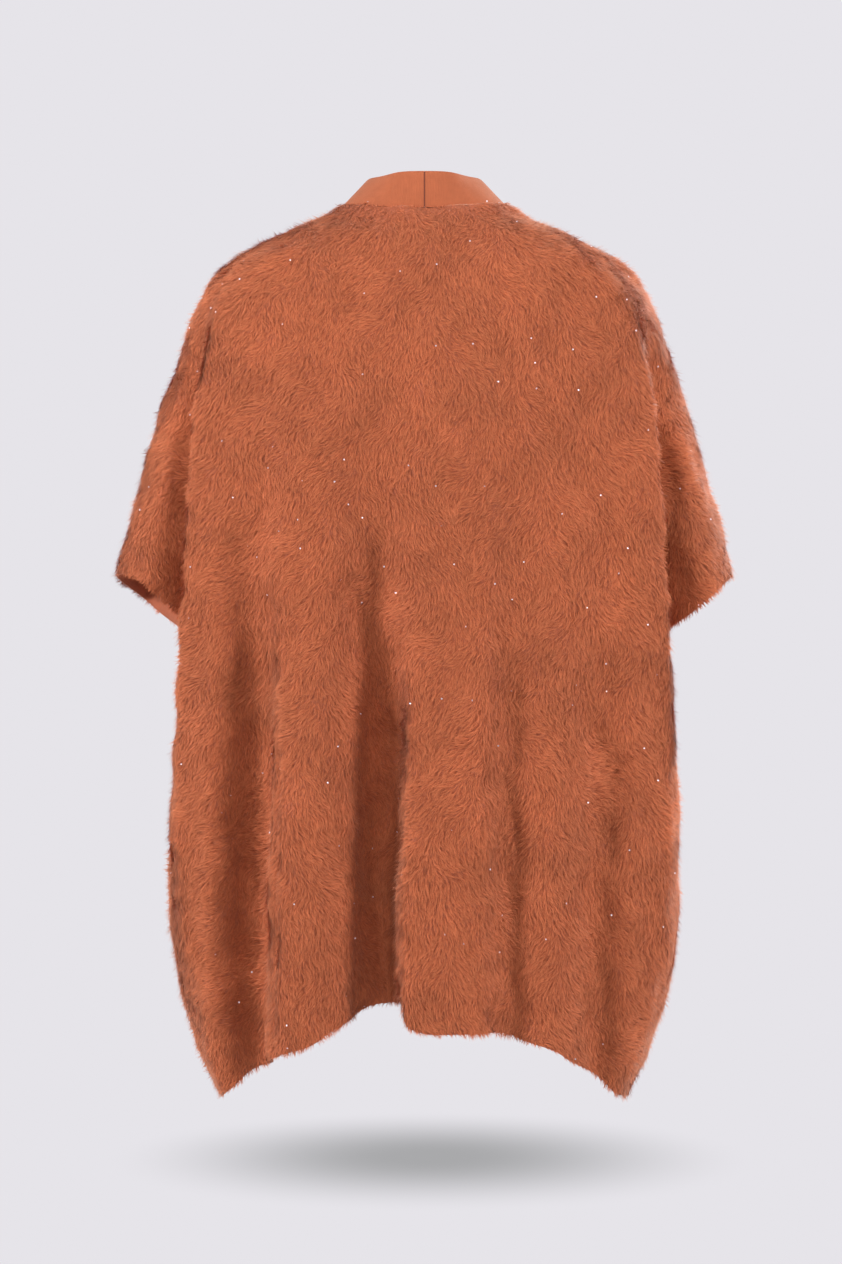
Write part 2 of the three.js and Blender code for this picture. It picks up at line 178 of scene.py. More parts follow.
def makeDyeGroup():
    group, given, result = newGroup(
        "dyeUnevenness",
        [("Colour", "Color", (1, 1, 1, 1)), ("Patches", "Float", 0.1), ("Mottle", "Float", 0.1)],
        [("Colour", "Color")])
    place = addNode(group, "ShaderNodeTexCoord").outputs["Object"]
    total = None
    for cloud in dyeClouds:
        noise = addNode(group, "ShaderNodeTexNoise")
        noise.inputs["Scale"].default_value = cloud["scale"]
        noise.inputs["Detail"].default_value = cloud["detail"]
        group.links.new(place, noise.inputs["Vector"])
        centred = mathNode(group, "SUBTRACT", noise.outputs["Fac"], 0.5)
        share = mathNode(group, "MULTIPLY", centred, given.outputs[cloud["label"]])
        total = share if total is None else mathNode(group, "ADD", total, share)
    tinted = addNode(group, "ShaderNodeVectorMath", operation="SCALE")
    group.links.new(given.outputs["Colour"], tinted.inputs[0])
    group.links.new(mathNode(group, "ADD", total, 1), tinted.inputs["Scale"])
    group.links.new(tinted.outputs[0], result.inputs["Colour"])
    return group


# a plain jersey's stitches on a piece's own map in metres, as a height

stitchShape = {"middle": 0.5, "legHeight": 0.5}


def ripple(tree, value):
    # one arch for each whole number
    return mathNode(tree, "ABSOLUTE", mathNode(tree, "SINE", mathNode(tree, "MULTIPLY", value, math.pi)))


def makeStitchGroup():
    group, given, result = newGroup(
        "jerseyStitches",
        [("Map", "Vector", None), ("Wale", "Float", 0.0016), ("Course", "Float", 0.0011)],
        [("Height", "Float")])
    split = addNode(group, "ShaderNodeSeparateXYZ")
    group.links.new(given.outputs["Map"], split.inputs[0])
    across = mathNode(group, "DIVIDE", split.outputs[0], given.outputs["Wale"])
    along = mathNode(group, "DIVIDE", split.outputs[1], given.outputs["Course"])
    fromMiddle = mathNode(group, "SUBTRACT", mathNode(group, "FRACT", across), stitchShape["middle"])
    leaning = mathNode(group, "ADD", along, mathNode(group, "ABSOLUTE", fromMiddle))
    leg = mathNode(group, "MULTIPLY", ripple(group, leaning), stitchShape["legHeight"])
    height = mathNode(group, "ADD", ripple(group, across), leg)
    group.links.new(height, result.inputs["Height"])
    return group


dyeUnevenness = makeDyeGroup()
jerseyStitches = makeStitchGroup()


# what the materials share: their surface values, their dye and their bump

surfaceSockets = {
    "metal": "Metallic",
    "roughness": "Roughness",
    "specular": "Specular IOR Level",
    "sheen": "Sheen Weight",
    "sheenRoughness": "Sheen Roughness",
    "sheenTint": "Sheen Tint",
}


def finishMaterial(tree, shader, colour, look):
    mottledColour = useGroup(tree, dyeUnevenness, Colour=colour, Patches=look["patches"], Mottle=look["mottle"])
    tree.links.new(mottledColour.outputs[0], shader.inputs["Base Color"])
    for key, socket in surfaceSockets.items():
        if key in look:
            shader.inputs[socket].default_value = look[key]


def addBump(tree, shader, height, look):
    bump = addNode(tree, "ShaderNodeBump")
    bump.inputs["Strength"].default_value = look["bump"]
    bump.inputs["Distance"].default_value = look["bumpDepth"]
    tree.links.new(height, bump.inputs["Height"])
    tree.links.new(bump.outputs[0], shader.inputs["Normal"])


# the finish of each material

hairLook = {
    # root, middle and tip colours along each hair: the dark root is painted shade deep in the pile, and
    # the pale tip is a painted highlight, the rim light on the fuzz
    "root": (0.34, 0.074, 0.028, 1),
    "middle": (0.48, 0.118, 0.045, 1),
    "tip": (0.61, 0.182, 0.076, 1),
    "middleAt": 0.35,
    "patches": 0.42,
    "mottle": 0.3,
    "leastTone": 0.88,
    "mostTone": 1.1,
    "roughness": 0.72,
    "specular": 0.2,
    "sheen": 0.3,
    "sheenRoughness": 0.5,
    "sheenTint": (1, 0.72, 0.55, 1),
}


def makeHairMaterial():
    material, tree, shader = newMaterial("pileHair")
    hair = addNode(tree, "ShaderNodeUVMap", uv_map="hair")
    split = addNode(tree, "ShaderNodeSeparateXYZ")
    tree.links.new(hair.outputs[0], split.inputs[0])
    # colour along each hair from its dark root to its pale tip, with painted shade at the root and painted
    # rim light at the tip, times a random tone for each hair
    paintedRootShadeTipLight = addNode(tree, "ShaderNodeValToRGB")
    paintedRootShadeTipLight.color_ramp.elements[0].color = hairLook["root"]
    paintedRootShadeTipLight.color_ramp.elements[1].color = hairLook["tip"]
    middle = paintedRootShadeTipLight.color_ramp.elements.new(hairLook["middleAt"])
    middle.color = hairLook["middle"]
    tree.links.new(split.outputs[1], paintedRootShadeTipLight.inputs[0])
    span = hairLook["mostTone"] - hairLook["leastTone"]
    tone = mathNode(tree, "ADD", mathNode(tree, "MULTIPLY", split.outputs[0], span), hairLook["leastTone"])
    toned = addNode(tree, "ShaderNodeVectorMath", operation="SCALE")
    tree.links.new(paintedRootShadeTipLight.outputs[0], toned.inputs[0])
    tree.links.new(tone, toned.inputs["Scale"])
    finishMaterial(tree, shader, toned.outputs[0], hairLook)
    return material


groundLook = {
    "colour": (0.36, 0.088, 0.038, 1),
    "patches": 0.3,
    "mottle": 0.5,
    "tuftScale": 190,
    "tuftDetail": 4,
    "tuftStretch": (1, 1, 0.35),
    "bump": 0.6,
    "bumpDepth": 1.5 * mm,
    "roughness": 0.85,
    "sheen": 0.25,
    "sheenRoughness": 0.5,
    "sheenTint": (1, 0.7, 0.5, 1),
}


def makeGroundMaterial():
    material, tree, shader = newMaterial("pileGround")
    finishMaterial(tree, shader, groundLook["colour"], groundLook)
    mapping = addNode(tree, "ShaderNodeMapping")
    mapping.inputs["Scale"].default_value = groundLook["tuftStretch"]
    tree.links.new(addNode(tree, "ShaderNodeTexCoord").outputs["Object"], mapping.inputs[0])
    tufts = addNode(tree, "ShaderNodeTexNoise")
    tufts.inputs["Scale"].default_value = groundLook["tuftScale"]
    tufts.inputs["Detail"].default_value = groundLook["tuftDetail"]
    tree.links.new(mapping.outputs[0], tufts.inputs["Vector"])
    addBump(tree, shader, tufts.outputs["Fac"], groundLook)
    return material


fineKnitLook = {
    "colour": (0.345, 0.088, 0.034, 1),
    "patches": 0.16,
    "mottle": 0.3,
    "wale": 1.7 * mm,
    "course": 1.2 * mm,
    "bump": 0.35,
    "bumpDepth": 0.5 * mm,
    "roughness": 0.82,
    "specular": 0.25,
    "sheen": 0.35,
    "sheenRoughness": 0.45,
    "sheenTint": (1, 0.74, 0.58, 1),
}


def makeFineKnitMaterial():
    material, tree, shader = newMaterial("fineKnit")
    finishMaterial(tree, shader, fineKnitLook["colour"], fineKnitLook)
    knitMap = addNode(tree, "ShaderNodeUVMap", uv_map="knit")
    stitches = useGroup(tree, jerseyStitches, Map=knitMap.outputs[0],
                        Wale=fineKnitLook["wale"], Course=fineKnitLook["course"])
    addBump(tree, shader, stitches.outputs[0], fineKnitLook)
    return material


sequinLook = {
    "colour": (0.92, 0.86, 0.95, 1),
    "patches": 0.12,
    "mottle": 0.12,
    "metal": 0.55,
    "roughness": 0.28,
}
# the seam strip's near-black colour is painted shade, the dark of the groove between the band's halves
seamPaintedShadeLook = {
    "colour": (0.13, 0.026, 0.012, 1),
    "patches": 0.2,
    "mottle": 0.4,
    "roughness": 0.9,
}


def makePlainMaterial(name, look):
    material, tree, shader = newMaterial(name)
    finishMaterial(tree, shader, look["colour"], look)
    return material


pileHair = makeHairMaterial()
pileGround = makeGroundMaterial()
fineKnit = makeFineKnitMaterial()
sequinShine = makePlainMaterial("sequin", sequinLook)
seamPaintedShade = makePlainMaterial("seamPaintedShade", seamPaintedShadeLook)
print("materials made")


# each CAD wall is a closed form: this keeps its outer sheet alone, as quads

panelNames = ("back_panel", "front_panel_left", "front_panel_right")
bandNames = ("neck_band_left", "neck_band_right")

sheetMaking = {
    "merge": 0.01 * mm,
    "panelCorner": math.radians(40),
    "bandCorner": math.radians(78),
    "quadAngle": math.radians(40),
    "seamMerge": 0.8 * mm,
    "underarmOut": 0.22,
    "underarmTop": -0.456,
    "underarmFoot": -0.6,
    "underarmMiddle": 3.5 * mm,
    "underarmMerge": 9 * mm,
    "besideBand": 6 * mm,
}


def outerSheet(nodeName, keep, cornerAngle):
    sheet = bmesh.new()
    sheet.from_mesh(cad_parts[nodeName].data)
    bmesh.ops.remove_doubles(sheet, verts=sheet.verts, dist=sheetMaking["merge"])
    sheet.faces.ensure_lookup_table()
    region = {}
    areas = []
    for start in sheet.faces:
        if start in region:
            continue
        number = len(areas)
        region[start] = number
        waiting = [start]
        faces = []
        while waiting:
            face = waiting.pop()
            faces.append(face)
            for edge in face.edges:
                if edge.calc_face_angle(0) > cornerAngle:
                    continue
                for other in edge.link_faces:
                    if other not in region:
                        region[other] = number
                        waiting.append(other)
        areas.append((sum(face.calc_area() for face in faces), number, faces))
    areas.sort(key=lambda entry: entry[0], reverse=True)
    chosen = max(areas[:2], key=lambda entry: keep(entry[2]))[1]
    spare = [face for face in sheet.faces if region[face] != chosen]
    bmesh.ops.delete(sheet, geom=spare, context="FACES")
    bmesh.ops.join_triangles(
        sheet, faces=sheet.faces, cmp_seam=False, cmp_sharp=False, cmp_uvs=False,
        angle_face_threshold=sheetMaking["quadAngle"], angle_shape_threshold=math.pi)
    print(nodeName, "regions", [round(entry[0], 4) for entry in areas[:4]], "faces", len(sheet.faces))
    return sheet


def facing(direction):
    def score(faces):
        total = Vector((0, 0, 0))
        for face in faces:
            total += face.normal * face.calc_area()
        return total.dot(Vector(direction))
    return score


panelSheets = {
    "back_panel": outerSheet("back_panel", facing((0, 1, 0)), sheetMaking["panelCorner"]),
    "front_panel_left": outerSheet("front_panel_left", facing((0, -1, 0)), sheetMaking["panelCorner"]),
    "front_panel_right": outerSheet("front_panel_right", facing((0, -1, 0)), sheetMaking["panelCorner"]),
}


# the three panels become one skin, sewn at the shoulders and sides, and then go below the pile

skinMaking = {
    "pileDepth": 4 * mm,
    "depthAtNeck": 0.2 * mm,
    "neckFade": 24 * mm,
    "hemShortening": 4 * mm,
    "neckTuck": 3 * mm,
    "clothThickness": 2 * mm,
    "finer": 2,
}


def sewSkin():
    skin = bmesh.new()
    for number, name in enumerate(panelNames):
        part = bpy.data.meshes.new("part")
        panelSheets[name].to_mesh(part)
        panelSheets[name].free()
        first = len(skin.faces)
        skin.from_mesh(part)
        bpy.data.meshes.remove(part)
        skin.faces.ensure_lookup_table()
        for face in skin.faces[first:]:
            face.material_index = number
            face.smooth = True
    rims = [v for v in skin.verts if v.is_boundary]
    bmesh.ops.remove_doubles(skin, verts=rims, dist=sheetMaking["seamMerge"])
    closeUnderarms(skin)
    return skin


def closeUnderarms(skin):
    # the walls leave a groove below each underarm, which the seam draws together
    beside = []
    for vert in skin.verts:
        between = sheetMaking["underarmFoot"] < vert.co.z < sheetMaking["underarmTop"]
        if vert.is_boundary and between and abs(vert.co.x) > sheetMaking["underarmOut"]:
            vert.co.y = sheetMaking["underarmMiddle"]
            beside.append(vert)
    bmesh.ops.remove_doubles(skin, verts=beside, dist=sheetMaking["underarmMerge"])


bandSurfaces = [surfaceOf(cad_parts[name].data) for name in bandNames]


def awayFromBand(point):
    return min(surface.find_nearest(point)[3] for surface in bandSurfaces)


def shortenHems(skin):
    # the hem and the cuffs end a little higher, which leaves room for the hairs that hang over them,
    # and the neck edge is tucked in under the band
    skin.normal_update()
    moves = []
    for vert in skin.verts:
        if not vert.is_boundary:
            continue
        inner = [edge.other_vert(vert) for edge in vert.link_edges if not edge.is_boundary]
        if not inner:
            continue
        way = Vector((0, 0, 0))
        for other in inner:
            way += (other.co - vert.co).normalized()
        besideBand = awayFromBand(vert.co) < sheetMaking["besideBand"]
        reach = -skinMaking["neckTuck"] if besideBand else skinMaking["hemShortening"]
        moves.append((vert, way.normalized() * reach))
    for vert, way in moves:
        vert.co += way


def sinkSkin(skin):
    # inwards by the depth of the pile, and by less beside the smooth band
    skin.normal_update()
    moves = []
    for vert in skin.verts:
        away = awayFromBand(vert.co)
        share = float(smooth(away / skinMaking["neckFade"]))
        depth = skinMaking["depthAtNeck"] + (skinMaking["pileDepth"] - skinMaking["depthAtNeck"]) * share
        moves.append((vert, vert.normal * depth))
    for vert, way in moves:
        vert.co -= way


skinSheet = sewSkin()
shortenHems(skinSheet)
sinkSkin(skinSheet)
skinMesh = bpy.data.meshes.new("skin")
skinSheet.to_mesh(skinMesh)
skinSheet.free()
skin = addPiece("skin", skinMesh)
for name in panelNames:
    skinMesh.materials.append(pileGround)
finishModifier(skin, "SUBSURF", levels=skinMaking["finer"], render_levels=skinMaking["finer"],
               boundary_smooth="PRESERVE_CORNERS")
print("skin sewn", len(skin.data.polygons), "faces")


# creases: soft troughs and ridges, each along a short path seen from behind or from the front

creases = rows(
    "side startX startZ midX midZ endX endZ width height", [
        # the columns' edges: a crest and beside it the foot of the flank, down to the hem and past it
        (1, 0.01, -0.32, 0.017, -0.66, 0.024, -1.05, 0.012, 0.004),
        (1, 0.029, -0.4, 0.036, -0.7, 0.042, -1.05, 0.017, -0.01),
        (1, 0.126, -0.34, 0.132, -0.68, 0.137, -1.05, 0.018, 0.002),
        (1, 0.158, -0.36, 0.163, -0.7, 0.167, -1.05, 0.019, -0.01),
        (1, 0.198, -0.36, 0.2, -0.7, 0.2, -1.05, 0.022, 0.007),
        (1, -0.064, -0.3, -0.058, -0.6, -0.052, -1.05, 0.01, 0.003),
        (1, -0.088, -0.3, -0.088, -0.6, -0.088, -1.05, 0.02, 0.007),
        (1, 0.075, -0.4, 0.08, -0.7, 0.085, -1.05, 0.011, 0.003),
        (1, -0.184, -0.36, -0.184, -0.6, -0.184, -1.05, 0.02, 0.006),
        # the back, right of the middle
        (1, -0.146, -0.09, -0.122, -0.2, -0.11, -0.3, 0.012, -0.003),
        (1, -0.17, -0.12, -0.16, -0.22, -0.15, -0.33, 0.014, -0.002),
        (1, -0.06, -0.1, -0.075, -0.18, -0.085, -0.27, 0.012, -0.0018),
        (1, -0.11, -0.55, -0.118, -0.63, -0.112, -0.7, 0.01, -0.0022),
        (1, -0.2, -0.5, -0.196, -0.62, -0.205, -0.74, 0.014, -0.0022),
        # the back, left of the middle
        (1, 0.09, -0.06, 0.075, -0.13, 0.07, -0.21, 0.014, -0.002),
        (1, 0.185, -0.3, 0.178, -0.42, 0.182, -0.52, 0.012, -0.002),
        (1, 0.04, -0.5, 0.035, -0.6, 0.042, -0.7, 0.011, -0.0018),
        (1, 0.24, -0.22, 0.25, -0.3, 0.258, -0.38, 0.012, -0.0025),
        (1, -0.235, -0.2, -0.25, -0.29, -0.262, -0.38, 0.012, -0.0025),
        (1, -0.03, -0.72, 0.01, -0.735, 0.05, -0.725, 0.014, 0.0018),
        (1, -0.17, -0.8, -0.15, -0.83, -0.12, -0.84, 0.014, -0.0018),
        # the fronts, much as on the back
        (-1, 0.15, -0.1, 0.135, -0.2, 0.125, -0.32, 0.013, -0.0028),
        (-1, -0.155, -0.11, -0.142, -0.2, -0.128, -0.3, 0.012, -0.0026),
        (-1, 0.19, -0.48, 0.186, -0.6, 0.192, -0.7, 0.012, -0.002),
        (-1, -0.1, -0.45, -0.096, -0.54, -0.104, -0.66, 0.012, -0.002),
        (-1, 0.245, -0.22, 0.255, -0.3, 0.262, -0.38, 0.012, -0.0024),
        (-1, -0.24, -0.21, -0.25, -0.29, -0.26, -0.37, 0.012, -0.0024),
        (-1, -0.175, -0.6, -0.168, -0.7, -0.176, -0.79, 0.012, 0.002),
    ])

creaseShape = {
    "steps": 16,
    "fade": 0.3,
    "turnedFrom": 0.1,
    "turnedSpan": 0.4,
    "unevenness": 1.1 * mm,
    "seed": 11,
    "waves": 12,
    "shortest": 0.035,
    "longest": 0.12,
}


def waveField(seed, shortest, longest, count):
    # smooth uneven values over space, as many plane waves of seeded direction and length
    rng = np.random.default_rng(seed)
    ways = rng.normal(size=(count, 3))
    ways /= np.linalg.norm(ways, axis=1, keepdims=True)
    lengths = np.exp(rng.uniform(np.log(shortest), np.log(longest), count))
    phases = rng.uniform(0, 2 * math.pi, count)

    def field(points):
        total = np.zeros(len(points))
        for way, length, phase in zip(ways, lengths, phases):
            total += np.sin(points @ way * (2 * math.pi / length) + phase)
        return total * math.sqrt(2 / count)
    return field


def meshArrays(mesh):
    points = np.empty(len(mesh.vertices) * 3)
    mesh.vertices.foreach_get("co", points)
    normals = np.empty(len(mesh.vertices) * 3)
    mesh.vertices.foreach_get("normal", normals)
    return points.reshape(-1, 3), normals.reshape(-1, 3)


def creaseHeights(points, normals):
    height = np.zeros(len(points))
    for crease in creases:
        start = np.array([crease["startX"], crease["startZ"]])
        middle = np.array([crease["midX"], crease["midZ"]])
        end = np.array([crease["endX"], crease["endZ"]])
        t = np.linspace(0, 1, creaseShape["steps"] + 1)[:, None]
        path = (1 - t) ** 2 * start + 2 * t * (1 - t) * (2 * middle - 0.5 * (start + end)) + t ** 2 * end
        step = path[1:] - path[:-1]
        offset = points[:, None, [0, 2]] - path[None, :-1]
        share = np.clip((offset * step).sum(2) / (step ** 2).sum(1), 0, 1)
        away = np.linalg.norm(offset - share[:, :, None] * step, axis=2)
        nearest = away.argmin(1)
        along = (nearest + share[np.arange(len(points)), nearest]) / creaseShape["steps"]
        ends = smooth(along / creaseShape["fade"]) * smooth((1 - along) / creaseShape["fade"])
        turned = normals[:, 1] * crease["side"] - creaseShape["turnedFrom"]
        turned = smooth(turned / creaseShape["turnedSpan"])
        height += crease["height"] * np.exp(-(away.min(1) / crease["width"]) ** 2) * ends * turned
    return height


skinPoints, skinNormals = meshArrays(skin.data)
unevenness = waveField(
    creaseShape["seed"], creaseShape["shortest"], creaseShape["longest"], creaseShape["waves"])
lift = creaseHeights(skinPoints, skinNormals) + creaseShape["unevenness"] * unevenness(skinPoints)
skinPoints = skinPoints + skinNormals * lift[:, None]
skin.data.vertices.foreach_set("co", skinPoints.ravel())
skin.data.update()
skinPoints, skinNormals = meshArrays(skin.data)
print("creases laid")


# what the pile grows from: the skin's triangles with the panel each belongs to

skin.data.calc_loop_triangles()
triangleCount = len(skin.data.loop_triangles)
triangles = np.empty(triangleCount * 3, dtype=np.int64)
skin.data.loop_triangles.foreach_get("vertices", triangles)
triangles = triangles.reshape(-1, 3)
trianglePanel = np.empty(triangleCount, dtype=np.int64)
skin.data.loop_triangles.foreach_get("material_index", trianglePanel)
hemVertices = set()
for key in openEdges(skin.data):
    if awayFromBand(Vector(skinPoints[key[0]])) > skinMaking["neckFade"]:
        hemVertices.update(key)
corners = skinPoints[triangles]
crossed = np.cross(corners[:, 1] - corners[:, 0], corners[:, 2] - corners[:, 0])
triangleAreas = 0.5 * np.linalg.norm(crossed, axis=1)
triangleMiddles = corners.mean(1)
skinAreas = [float(triangleAreas[trianglePanel == number].sum()) for number in range(len(panelNames))]
print("skin areas", [round(area, 4) for area in skinAreas])


# the panels' cloth: the skin cut apart again at the seams, and given its thickness

panelPieces = {}
for number, name in enumerate(panelNames):
    choose(skin)
    bpy.ops.object.duplicate()
    piece = bpy.context.view_layer.objects.active
    piece.name = name + "_cloth"
    cut = bmesh.new()
    cut.from_mesh(piece.data)
    others = [face for face in cut.faces if face.material_index != number]
    bmesh.ops.delete(cut, geom=others, context="FACES")
    for face in cut.faces:
        face.material_index = 0
    cut.to_mesh(piece.data)
    cut.free()
    piece.data.materials.clear()
    piece.data.materials.append(pileGround)
    finishModifier(piece, "SOLIDIFY", thickness=skinMaking["clothThickness"], offset=-1,
                   use_even_offset=False, use_rim=True)
    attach(piece, "root")
    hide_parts(name)
    panelPieces[name] = piece
bpy.data.objects.remove(skin)
print("panels cut")


# the pile: fine hairs, each one narrow triangle, lying downwards in swirls

pile = {
    "longest": 10 * mm,
    "shortest": 5.5 * mm,
    "width": 0.8 * mm,
    "leastWidth": 0.7,
    "mostWidth": 1.3,
    "rise": 1.9 * mm,
    "riseSpread": 0.3,
    "leastRise": 0.3,
    "mostRise": 1.6,
    "lowestRoot": -0.6 * mm,
    "highestRoot": 1.7 * mm,
    "hemLength": 0.72,
    "guardShare": 0.12,
    "guardRise": 2.7,
    "hemFade": 11 * mm,
    "neckLength": 0.5,
    "neckRise": 0.6,
    "lengthPatches": 0.14,
    "cellCorners": ((0.05, 0.05), (0.95, 0.05), (0.5, 0.95)),
    "shoulderLay": 0.55,
    "shoulderFrom": 0.04,
    "shoulderTo": 0.2,
    "swirl": 0.45,
    "curl": 0.28,
    "stray": 0.24,
    "twist": 0.15,
    "roundness": 0.9,
    "sparkle": 0.14,
}
wideSwirl = waveField(seed=21, shortest=0.05, longest=0.16, count=14)
closeSwirl = waveField(seed=22, shortest=0.014, longest=0.04, count=16)
lengthPatch = waveField(seed=23, shortest=0.02, longest=0.06, count=12)

hemTree = treeOf(skinPoints[np.array(sorted(hemVertices))])
fromHem = np.array([hemTree.find(Vector(p))[2] for p in skinPoints])
fromBand = np.array([awayFromBand(Vector(p)) for p in skinPoints])


def unit(vectors):
    return vectors / np.maximum(np.linalg.norm(vectors, axis=1, keepdims=True), 1e-9)


def turnAbout(vectors, axes, angles):
    cosine = np.cos(angles)[:, None]
    sine = np.sin(angles)[:, None]
    along = (vectors * axes).sum(1)[:, None]
    return vectors * cosine + np.cross(axes, vectors) * sine + axes * along * (1 - cosine)


def pointsOnSkin(rng, chosen, count):
    # places with their normals, and how far each lies from the hem and from the band
    weights = triangleAreas[chosen]
    edges = np.cumsum(weights) / weights.sum()
    picks = chosen[np.searchsorted(edges, rng.random(count))]
    first = np.sqrt(rng.random(count))
    second = rng.random(count)
    shares = np.stack([1 - first, first * (1 - second), first * second], 1)
    picked = triangles[picks]
    places = (skinPoints[picked] * shares[:, :, None]).sum(1)
    normals = unit((skinNormals[picked] * shares[:, :, None]).sum(1))
    return places, normals, (fromHem[picked] * shares).sum(1), (fromBand[picked] * shares).sum(1)


def layOfPile(places, normals, rng):
    # down the cloth, outwards over the shoulders, turned by the swirls
    shoulder = pile["shoulderTo"] - pile["shoulderFrom"]
    share = smooth((np.abs(places[:, 0]) - pile["shoulderFrom"]) / shoulder)
    lay = np.zeros_like(places)
    lay[:, 0] = np.sign(places[:, 0]) * share * pile["shoulderLay"]
    lay[:, 2] = -1
    lay = unit(lay - normals * (lay * normals).sum(1)[:, None])
    angle = pile["swirl"] * wideSwirl(places) + pile["curl"] * closeSwirl(places)
    angle = angle + rng.normal(0, pile["stray"], len(places))
    return unit(turnAbout(lay, normals, angle))


def hairMesh(name, root, tip, normals, side, widths, tones):
    count = len(root)
    broad = side * widths[:, None]
    points = np.stack([root - broad, root + broad, tip], 1).reshape(-1, 3)
    mesh = bpy.data.meshes.new(name)
    mesh.vertices.add(count * 3)
    mesh.vertices.foreach_set("co", points.ravel())
    mesh.loops.add(count * 3)
    mesh.loops.foreach_set("vertex_index", np.arange(count * 3))
    mesh.polygons.add(count)
    mesh.polygons.foreach_set("loop_start", np.arange(count) * 3)
    mesh.update(calc_edges=True)
    hair = np.stack([np.repeat(tones, 3), np.tile([0.0, 0.0, 1.0], count)], 1)
    hairMap = mesh.uv_layers.new(name="hair")
    hairMap.data.foreach_set("uv", hair.ravel())
    # each hair has a cell of its own on a second map, OFBake, so that no two hairs share a place on it
    cells = int(math.ceil(math.sqrt(count)))
    cell = np.stack([np.arange(count) % cells, np.arange(count) // cells], 1)
    place = (cell[:, None, :] + np.array(pile["cellCorners"])) / cells
    cellMap = mesh.uv_layers.new(name="OFBake")
    cellMap.data.foreach_set("uv", place.ravel())
    mesh.polygons.foreach_set("use_smooth", np.ones(count, dtype=bool))
    mesh.normals_split_custom_set_from_vertices(np.repeat(normals, 3, axis=0))
    mesh.materials.append(pileHair)
    piece = addPiece(name, mesh)
    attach(piece, "root")
    return piece


def pileOn(name, panel, count, seed, lowX=-1.0, highX=1.0):
    rng = np.random.default_rng(seed)
    inside = (trianglePanel == panel) & (triangleMiddles[:, 0] >= lowX) & (triangleMiddles[:, 0] < highX)
    chosen = np.nonzero(inside)[0]
    places, normals, hemAway, bandAway = pointsOnSkin(rng, chosen, count)
    lay = layOfPile(places, normals, rng)
    besideHem = smooth(hemAway / pile["hemFade"])
    besideBand = smooth(bandAway / skinMaking["neckFade"])
    length = rng.uniform(pile["shortest"], pile["longest"], count)
    length = length * (1 + pile["lengthPatches"] * lengthPatch(places))
    length = length * (pile["hemLength"] + (1 - pile["hemLength"]) * besideHem)
    length = length * (pile["neckLength"] + (1 - pile["neckLength"]) * besideBand)
    spread = rng.normal(1, pile["riseSpread"], count)
    rise = pile["rise"] * np.clip(spread, pile["leastRise"], pile["mostRise"])
    rise = rise * np.where(rng.random(count) < pile["guardShare"], pile["guardRise"], 1.0)
    rise = rise * (pile["neckRise"] + (1 - pile["neckRise"]) * besideBand)
    # roots at every depth of the pile, so that each hair can lie flat
    depth = rng.uniform(pile["lowestRoot"], pile["highestRoot"], count)
    root = places + normals * depth[:, None]
    tip = root + normals * rise[:, None] + lay * length[:, None]
    way = unit(tip - root)
    side = turnAbout(unit(np.cross(way, normals)), way, rng.normal(0, pile["twist"], count))
    face = np.cross(side, way)
    face = face * np.sign((face * normals).sum(1))[:, None]
    shown = normals * pile["roundness"] + face * (1 - pile["roundness"])
    shown = unit(shown + rng.normal(0, pile["sparkle"], (count, 3)))
    widths = 0.5 * pile["width"] * rng.uniform(pile["leastWidth"], pile["mostWidth"], count)
    print(name, "hairs", count, "per square metre", round(count / triangleAreas[chosen].sum()))
    return hairMesh(name, root, tip, shown, side, widths, rng.random(count))


# the back's pile is made in three stripes and each front's in one
pileShare = {"back": 148000, "front": 112000, "stripe": 0.112}
stripe = pileShare["stripe"]
backPile = [
    pileOn("pile_back_right", panel=0, count=pileShare["back"], seed=31, highX=-stripe),
    pileOn("pile_back_middle", panel=0, count=pileShare["back"], seed=32, lowX=-stripe, highX=stripe),
    pileOn("pile_back_left", panel=0, count=pileShare["back"], seed=33, lowX=stripe),
]
leftPile = [pileOn("pile_front_left", panel=1, count=pileShare["front"], seed=34)]
rightPile = [pileOn("pile_front_right", panel=2, count=pileShare["front"], seed=35)]


# sequins, sewn on here and there and half sunk in the pile

sequins = {
    "perSquareMetre": 260,
    "radius": 0.85 * mm,
    "thickness": 0.2 * mm,
    "hole": 0.24 * mm,
    "height": 3.4 * mm,
    "tilt": 0.5,
    "apart": 16 * mm,
    "tries": 2,
    "sides": 8,
}


def makeSequin():
    bpy.ops.object.select_all(action="DESELECT")
    bpy.ops.mesh.primitive_circle_add(
        vertices=sequins["sides"], radius=sequins["radius"], fill_type="NGON", location=(0, 0, 0))
    sequin = bpy.context.view_layer.objects.active
    bpy.ops.object.mode_set(mode="EDIT")
    bpy.ops.mesh.select_all(action="SELECT")
    bpy.ops.mesh.inset(thickness=sequins["radius"] - sequins["hole"], depth=-sequins["thickness"])
    bpy.ops.mesh.delete(type="FACE")
    bpy.ops.object.mode_set(mode="OBJECT")
    points = np.array([v.co[:] for v in sequin.data.vertices])
    faces = [tuple(face.vertices) for face in sequin.data.polygons]
    bpy.data.objects.remove(sequin)
    return points, faces


sequinPoints, sequinFaces = makeSequin()


